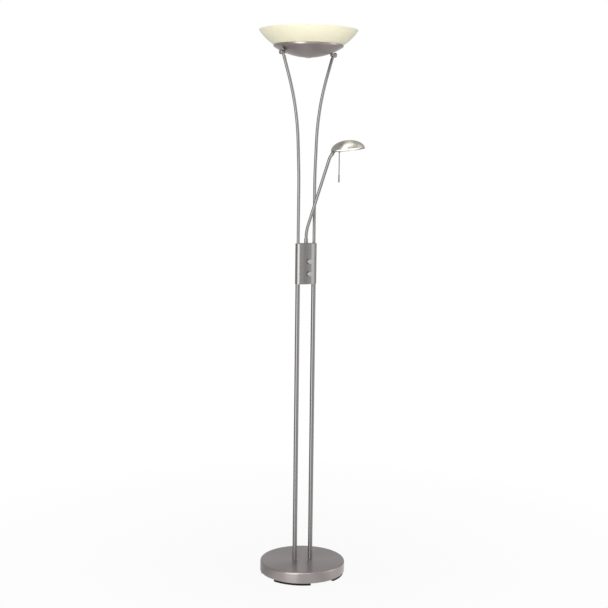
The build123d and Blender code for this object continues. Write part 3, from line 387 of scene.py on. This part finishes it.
# ---------------------------------------------------------------- lampholders and lamps
# The lampholders are pressed white ceramic, unglazed, with a sandy face. The lamps are clear quartz
# with pinched ends.
def pressed_ceramic():
    finish = Finish("pressed_ceramic")
    sand = finish.noise(finish.place(), scale=1500.0, detail=4.0)
    stain = finish.noise(finish.place(), scale=70.0)
    tone = finish.blend(stain, opaque(0.72, 0.70, 0.65), opaque(0.82, 0.80, 0.76))
    return finish.coat(Base_Color=tone, Roughness=sand * 0.15 + 0.62,
                       Normal=finish.bump(sand, depth=0.0001))


def quartz():
    """Clear quartz tube, slightly wavy from drawing, warm where the filament shines through."""
    finish = Finish("quartz")
    waves = finish.noise(stretched(finish, (60, 400, 400)), detail=1.0)
    return finish.coat(Base_Color=opaque(0.97, 0.96, 0.93), Roughness=waves * 0.04 + 0.02, IOR=1.46,
                       Transmission_Weight=0.85, Emission_Color=opaque(1.0, 0.90, 0.72),
                       Emission_Strength=0.25, Normal=finish.bump(waves, depth=0.0001))


dress(pressed_ceramic(), "lamp_sockets", "head_socket")
dress(quartz(), "tube_bulb", "head_bulb")


# ---------------------------------------------------------------- dish and pivots
# The bowl stands in a shallow spun dish with a short upright lip, brushed in rings like the base. Two
# lugs under the dish hang on bolts through the stems' eyes, and round cap nuts close the bolts' ends.
DISH_CENTRE = (0, 0, 1.752)
PIVOT_CENTRE = (0, 0, 1.7255)
ACROSS = (0, math.radians(90), 0)      # turns an upright axis to run from pole to pole
dish_nickel = brushed_nickel("dish_nickel", lambda f: rings(f, DISH_CENTRE), rough=0.30,
                             dark=opaque(0.318, 0.278, 0.267), light=opaque(0.424, 0.374, 0.360))
cap_nickel = brushed_nickel("cap_nickel", lambda f: rings(f, PIVOT_CENTRE, ACROSS), rough=0.24,
                            dark=opaque(0.28, 0.262, 0.256), light=opaque(0.37, 0.350, 0.342))
dress(dish_nickel, "uplight_dish")
dress(cap_nickel, "pivot_caps", "pivot_lugs")
dress(plated_screws, "pivot_bolts")
dress(moulded("nylon_washers", opaque(0.60, 0.59, 0.55), opaque(0.68, 0.67, 0.63), rough=0.35),
      "friction_washers")


# ---------------------------------------------------------------- glass bowl
# A slumped bowl of opal glass, 319 mm across and satin-etched, cream by lamplight. It stands on a
# flanged spacer between two rubber gaskets and is held down by a steel clamp disc.
BOWL_GLOW = 0.20       # the lamplight that the glass lets through
BOWL_RIM_Z = 1.800
BOWL_FOOT_Z = 1.733


def opal_glass():
    finish = Finish("opal_glass")
    drift = finish.noise(stretched(finish, (7, 7, 18)), detail=3.0)
    tooth = finish.noise(finish.place(), scale=1800.0, detail=2.0)
    height = finish.node("SeparateXYZ", None, {0: finish.place()}, out=2)
    lift = (height - BOWL_FOOT_Z) / (BOWL_RIM_Z - BOWL_FOOT_Z)
    tone = finish.blend(drift, opaque(0.78, 0.75, 0.54), opaque(0.84, 0.815, 0.62))
    glow = finish.blend(lift * 0.9 + drift * 0.1, opaque(0.40, 0.36, 0.24), opaque(1.0, 0.97, 0.84))
    return finish.coat(Base_Color=tone, Roughness=tooth * 0.1 + 0.30, IOR=1.5, Subsurface_Weight=0.3,
                       Subsurface_Scale=0.006, Emission_Color=glow, Emission_Strength=BOWL_GLOW,
                       Normal=finish.bump(tooth, depth=0.00002))


dress(opal_glass(), "bowl_glass")
dress(rubber("gasket_rubber", 1400.0, dark=opaque(0.02, 0.02, 0.02), light=opaque(0.05, 0.05, 0.05)),
      "glass_gaskets")
dress(plated_sheet, "bowl_spacer", "glass_clamp", "lamp_bracket")
dress(plated_screws, "centre_nipple", "centre_nuts")
dress(spun_aluminium("trough_metal", lambda f: stretched(f, (12, 900, 900))), "reflector_trough")


# ---------------------------------------------------------------- tube lamp's filament
# A coil of tungsten wire runs down the middle of the tube lamp, carried by small wire rings that keep
# it off the quartz.
FILAMENT_L = 0.072
FILAMENT_R = 0.0011
FILAMENT_WIRE_R = 0.00022
FILAMENT_TURNS = 60.0
SUPPORT_R = 0.0036
SUPPORT_COUNT = 5
COIL_STEPS = 12        # of one turn
SUPPORT_STEPS = 20
WIRE_SIDES = 6
TUBE_LAMP_Z = 1.766


def hot_tungsten():
    finish = Finish("hot_tungsten")
    grain = finish.noise(finish.place(), scale=4000.0)
    glow = finish.blend(grain, opaque(1.0, 0.66, 0.30), opaque(1.0, 0.80, 0.48))
    return finish.coat(Base_Color=opaque(0.35, 0.33, 0.30), Metallic=1.0, Roughness=grain * 0.2 + 0.3,
                       Emission_Color=glow, Emission_Strength=2.0)


class Tree:
    """A Geometry Nodes tree with named inputs. node() adds any node, as a finish's does."""

    def __init__(self, name, inputs):
        self.tree = bpy.data.node_groups.new(name, "GeometryNodeTree")
        self.tree.interface.new_socket("Geometry", in_out="OUTPUT", socket_type="NodeSocketGeometry")
        self.entry = self.tree.nodes.new("NodeGroupInput")
        self.sizes = {}
        for key, value in inputs.items():
            kind = "NodeSocketInt" if isinstance(value, int) else "NodeSocketFloat"
            socket = self.tree.interface.new_socket(key, in_out="INPUT", socket_type=kind)
            self.sizes[socket.identifier] = value
        self.inputs = {key: self.entry.outputs[key] for key in inputs}

    def node(self, kind, settings=None, sockets=None, out=0):
        made = self.tree.nodes.new(kind)
        for key, value in (settings or {}).items():
            setattr(made, key, value)
        for key, value in (sockets or {}).items():
            if isinstance(value, bpy.types.NodeSocket):
                self.tree.links.new(value, made.inputs[key])
            else:
                made.inputs[key].default_value = value
        return made.outputs[out]

    def sweep(self, path, wire_r):
        ring = self.node("GeometryNodeCurvePrimitiveCircle", None, {"Resolution": WIRE_SIDES,
                                                                    "Radius": wire_r})
        return self.node("GeometryNodeCurveToMesh", None, {"Curve": path, "Profile Curve": ring,
                                                           "Fill Caps": True})

    def made(self, name, geometry, finish):
        """The tree's result as a plain mesh in its place, with its finish."""
        real = self.node("GeometryNodeRealizeInstances", None, {"Geometry": geometry})
        done = self.node("GeometryNodeSetMaterial", None, {"Geometry": real, "Material": finish.material})
        leave = self.tree.nodes.new("NodeGroupOutput")
        self.tree.links.new(done, leave.inputs[0])
        blank = bpy.data.objects.new(name + "_tree", bpy.data.meshes.new(name + "_blank"))
        bpy.context.scene.collection.objects.link(blank)
        modifier = blank.modifiers.new("tree", "NODES")
        modifier.node_group = self.tree
        for identifier, value in self.sizes.items():
            modifier[identifier] = value
        bpy.context.view_layer.update()
        settled = blank.evaluated_get(bpy.context.evaluated_depsgraph_get())
        mesh = bpy.data.meshes.new_from_object(settled)
        bpy.data.objects.remove(blank)
        piece = bpy.data.objects.new(name, mesh)
        bpy.context.scene.collection.objects.link(piece)
        return piece


def filament():
    tree = Tree("filament", {"Length": FILAMENT_L, "Coil radius": FILAMENT_R, "Wire radius": FILAMENT_WIRE_R,
                             "Turns": FILAMENT_TURNS, "Support radius": SUPPORT_R,
                             "Supports": SUPPORT_COUNT})
    size = tree.inputs
    coil = tree.node("GeometryNodeCurveSpiral", None, {"Resolution": COIL_STEPS, "Rotations": size["Turns"],
                                                       "Start Radius": size["Coil radius"],
                                                       "End Radius": size["Coil radius"],
                                                       "Height": size["Length"]})
    wire = tree.sweep(coil, size["Wire radius"])
    middle = tree.node("ShaderNodeMath", {"operation": "MULTIPLY"}, {0: size["Length"], 1: -0.5})
    shift = tree.node("ShaderNodeCombineXYZ", None, {"Z": middle})
    gap = tree.node("ShaderNodeMath", {"operation": "DIVIDE"}, {0: size["Length"], 1: SUPPORT_COUNT - 1.0})
    step = tree.node("ShaderNodeCombineXYZ", None, {"Z": gap})
    line = tree.node("GeometryNodeMeshLine", None, {"Count": size["Supports"], "Offset": step})
    circle = tree.node("GeometryNodeCurvePrimitiveCircle", None, {"Resolution": SUPPORT_STEPS,
                                                                  "Radius": size["Support radius"]})
    hoop = tree.sweep(circle, size["Wire radius"])
    hoops = tree.node("GeometryNodeInstanceOnPoints", None, {"Points": line, "Instance": hoop})
    both = tree.tree.nodes.new("GeometryNodeJoinGeometry")
    tree.tree.links.new(wire, both.inputs[0])
    tree.tree.links.new(hoops, both.inputs[0])
    centred = tree.node("GeometryNodeTransform", None, {"Geometry": both.outputs[0], "Translation": shift})
    laid = tree.node("GeometryNodeTransform", None, {"Geometry": centred, "Rotation": ACROSS,
                                                     "Translation": (0, 0, TUBE_LAMP_Z)})
    return tree.made("tube_filament", laid, hot_tungsten())


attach(filament(), "bowl")


# ---------------------------------------------------------------- floor, light and camera
# The camera stands to the left of the lamp's front. Floor and surround are white to the eye, and metal
# mirrors them in greys, with a bright window to the camera's left. Soft lamps stand to its right, just
# over it and above the lamp.
CAMERA_BEARING = math.radians(30)      # from the lamp's front, to its left
CAMERA_LENS = 69.40
CAMERA_AWAY = 3.841
CAMERA_Z = 1.382
CAMERA_ASIDE = -0.0045
CAMERA_DOWN = math.radians(6.955)
CAMERA_ROLL = math.radians(0.69)
ahead = Vector((math.sin(CAMERA_BEARING), math.cos(CAMERA_BEARING), 0))
aside = Vector((math.cos(CAMERA_BEARING), -math.sin(CAMERA_BEARING), 0))
camera = bpy.data.objects.new("camera", bpy.data.cameras.new("camera"))
bpy.context.scene.collection.objects.link(camera)
camera.data.lens = CAMERA_LENS
camera.data.sensor_width = 36.0
camera.location = aside * CAMERA_ASIDE - ahead * CAMERA_AWAY + Vector((0, 0, CAMERA_Z))
gaze = ahead * math.cos(CAMERA_DOWN) - Vector((0, 0, math.sin(CAMERA_DOWN)))
camera.rotation_mode = "QUATERNION"
camera.rotation_quaternion = gaze.to_track_quat("-Z", "Y") @ Quaternion((0, 0, 1), CAMERA_ROLL)
bpy.context.scene.camera = camera
bpy.context.scene.view_settings.view_transform = "Standard"

# What metal mirrors, by degrees to the right of the camera: 1 is white, and the window is brighter.
STUDIO_TONES = {-180: 0.64, -150: 0.56, -110: 0.60, -82: 0.50, -60: 0.78, -48: 1.0, -41: 3.2, -17: 3.2,
                -8: 0.94, 14: 1.0, 26: 0.94, 36: 0.76, 50: 0.84, 64: 0.98, 112: 1.0, 132: 0.58, 160: 0.55,
                180: 0.64}
FLOOR_SIZE = 60.0
FLOOR_NEAR = 0.2               # shadows are kept inside this reach and fade out to the next
FLOOR_FAR = 1.6
FLOOR_SHADOW = 0.09            # how much of a shadow shows
FLOOR_GLARE = 3.0              # how far above white the window's mirror image may be, on the far floor
FILL_OF_SURROUND = 0.40        # what the pale surround adds to the light on the lamp


class Surround(Finish):
    """The studio round the lamp, built from nodes as a finish is."""

    def __init__(self, name):
        self.world = bpy.data.worlds.new(name)
        self.world.use_nodes = True
        self.tree = self.world.node_tree
        self.tree.nodes.clear()


def seen_by(finish):
    """Whether a ray of light comes from the camera, from something that mirrors, or through glass."""
    path = finish.node("LightPath", out="all")
    return path[0], path[3], path[6]       # its outputs for camera, glossy and transmission rays


def studio_white(finish, place, mirrored):
    """White to the eye, and the STUDIO_TONES to metal."""
    x, y, _ = finish.node("SeparateXYZ", None, {0: place}, out="all")
    across = x * aside.x + y * aside.y
    nearer = x * -ahead.x + y * -ahead.y
    turn = across.maths("ARCTAN2", across, nearer) / math.tau + 0.5
    stops = [(angle / 360 + 0.5, opaque(tone, tone, tone)) for angle, tone in STUDIO_TONES.items()]
    shade = finish.node("ValToRGB", {"stops": stops}, {0: turn})
    return finish.blend(mirrored, opaque(1, 1, 1), shade)


def pale_floor():
    finish = Finish("pale_floor")
    from_camera, mirrored, through = seen_by(finish)
    place = finish.place()
    reach = finish.node("VectorMath", {"operation": "LENGTH"}, {0: place}, out="Value")
    far = finish.node("Clamp", None, {0: (reach - FLOOR_NEAR) / (FLOOR_FAR - FLOOR_NEAR)})
    tones = studio_white(finish, place, mirrored)
    tones = finish.node("VectorMath", {"operation": "MINIMUM"}, {0: tones, 1: far * far * FLOOR_GLARE + 1.0})
    white = finish.node("Emission", None, {"Color": tones, "Strength": 1.0})
    chalk = finish.node("BsdfDiffuse", None, {"Color": opaque(0.88, 0.88, 0.88)})
    to_camera = from_camera * (far * FLOOR_SHADOW + (1 - FLOOR_SHADOW))
    share = finish.node("Clamp", None, {0: to_camera + mirrored + through})
    return finish.surface(finish.node("MixShader", None, {0: share, 1: chalk, 2: white}))


bpy.ops.mesh.primitive_plane_add(size=FLOOR_SIZE)
floor = bpy.context.object
floor.name = "pale_floor"
floor.data.materials.append(pale_floor().material)

studio = Surround("pale_studio")
from_camera, mirrored, through = seen_by(studio)
direct = studio.node("Clamp", None, {0: from_camera + mirrored + through})
tones = studio_white(studio, studio.node("TexCoord", out="Generated"), mirrored)
glow = studio.node("Background", None, {"Color": tones,
                                        "Strength": direct * (1 - FILL_OF_SURROUND) + FILL_OF_SURROUND})
studio.node("OutputWorld", None, {"Surface": glow}, out="all")
bpy.context.scene.world = studio.world

# Each lamp: degrees to the right of the camera, metres away, its height, its size, its watts, and the
# rays that it is kept from.
SOFT_LAMPS = {
    "fill": (88, 3.0, 1.4, (1.3, 2.8), 10.0, "visible_diffuse"),
    "front": (-1, 3.6, 1.9, (0.9, 0.9), 80.0, "visible_glossy"),
    "ceiling": (0, 0.6, 4.2, (2.4, 2.4), 36.0, "visible_diffuse"),
}
LIT_POINT = Vector((0, 0, 1.0))

for name, (angle, away, high, (wide, tall), power, kept_from) in SOFT_LAMPS.items():
    light = bpy.data.lights.new(name, "AREA")
    light.shape, light.size, light.size_y, light.energy = "RECTANGLE", wide, tall, power
    lamp = bpy.data.objects.new(name, light)
    bpy.context.scene.collection.objects.link(lamp)
    turn = math.radians(angle)
    lamp.location = (aside * math.sin(turn) - ahead * math.cos(turn)) * away + Vector((0, 0, high))
    lamp.rotation_mode = "QUATERNION"
    lamp.rotation_quaternion = (LIT_POINT - lamp.location).to_track_quat("-Z", "Y")
    setattr(lamp, kept_from, False)
